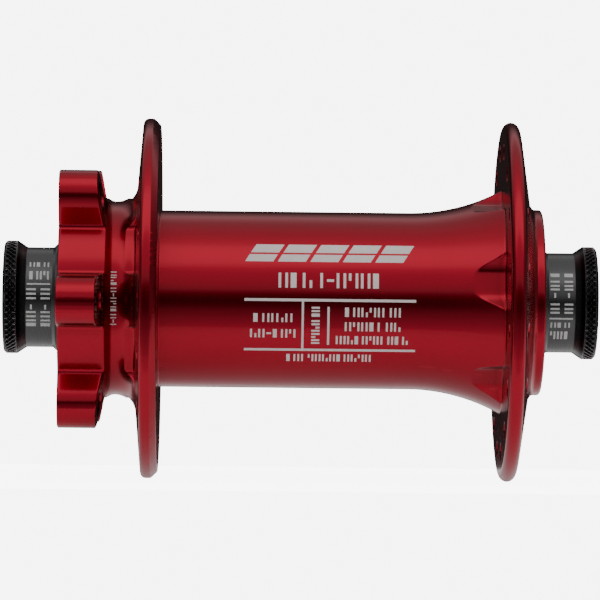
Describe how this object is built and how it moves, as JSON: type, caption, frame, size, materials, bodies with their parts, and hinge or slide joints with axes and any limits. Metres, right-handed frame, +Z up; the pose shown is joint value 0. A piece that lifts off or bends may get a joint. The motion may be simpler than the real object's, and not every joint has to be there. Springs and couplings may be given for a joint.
{
  "type": "bicycle front hub",
  "caption": "Thru-axle front hub: flared barrel with two drilled spoke flanges, lobed disc mount, sealed bearings and knurled pull-off end caps.",
  "frame": {"origin": "on the hub's axis, midway between the two end faces that the fork clamps", "axes": "+X along the hub's axis from the disc side to the other side, +Z up, -Y towards a viewer who sees the disc mount on the left"},
  "size_m": [0.11, 0.067, 0.067],
  "materials": {
    "shell_red": "gloss red anodised",
    "sleeve_black": "satin black anodised",
    "cap_black": "satin black anodised",
    "o_ring_rubber": "satin",
    "dust_seal_rubber": "matt",
    "bearing_steel": "ground",
    "ball_steel": "polished",
    "cage_brass": "pressed",
    "bearing_seal": "satin"
  },
  "bodies": {
    "axle": {"axle_sleeve": "sleeve_black", "left_bearing_inner_ring": "bearing_steel", "right_bearing_inner_ring": "bearing_steel"},
    "shell": {"hub_shell": "shell_red", "left_dust_seal": "dust_seal_rubber", "right_dust_seal": "dust_seal_rubber", "left_bearing_outer_ring": "bearing_steel", "right_bearing_outer_ring": "bearing_steel", "left_bearing_inboard_seal": "bearing_seal", "right_bearing_inboard_seal": "bearing_seal", "left_bearing_outboard_seal": "bearing_seal", "right_bearing_outboard_seal": "bearing_seal"},
    "left_cage": {"left_bearing_cage": "cage_brass", "left_bearing_balls": "ball_steel"},
    "right_cage": {"right_bearing_cage": "cage_brass", "right_bearing_balls": "ball_steel"},
    "left_cap": {"left_end_cap": "cap_black", "left_cap_o_ring": "o_ring_rubber"},
    "right_cap": {"right_end_cap": "cap_black", "right_cap_o_ring": "o_ring_rubber"}
  },
  "joints": [
    {"name": "hub_spin", "type": "hinge", "parent": "axle", "child": "shell", "pos_m": [0, 0, 0], "axis": [1, 0, 0], "continuous": true},
    {"name": "left_cage_spin", "type": "hinge", "parent": "axle", "child": "left_cage", "pos_m": [-0.0381, 0, 0], "axis": [1, 0, 0], "continuous": true},
    {"name": "right_cage_spin", "type": "hinge", "parent": "axle", "child": "right_cage", "pos_m": [0.0381, 0, 0], "axis": [1, 0, 0], "continuous": true},
    {"name": "left_cap_pull", "type": "slide", "parent": "axle", "child": "left_cap", "axis": [-1, 0, 0], "range_m": [0, 0.03]},
    {"name": "right_cap_pull", "type": "slide", "parent": "axle", "child": "right_cap", "axis": [1, 0, 0], "range_m": [0, 0.03]}
  ],
  "couplings": [
    {"joint": "left_cage_spin", "follows": "hub_spin", "ratio": 0.5673},
    {"joint": "right_cage_spin", "follows": "hub_spin", "ratio": 0.5673}
  ]
}
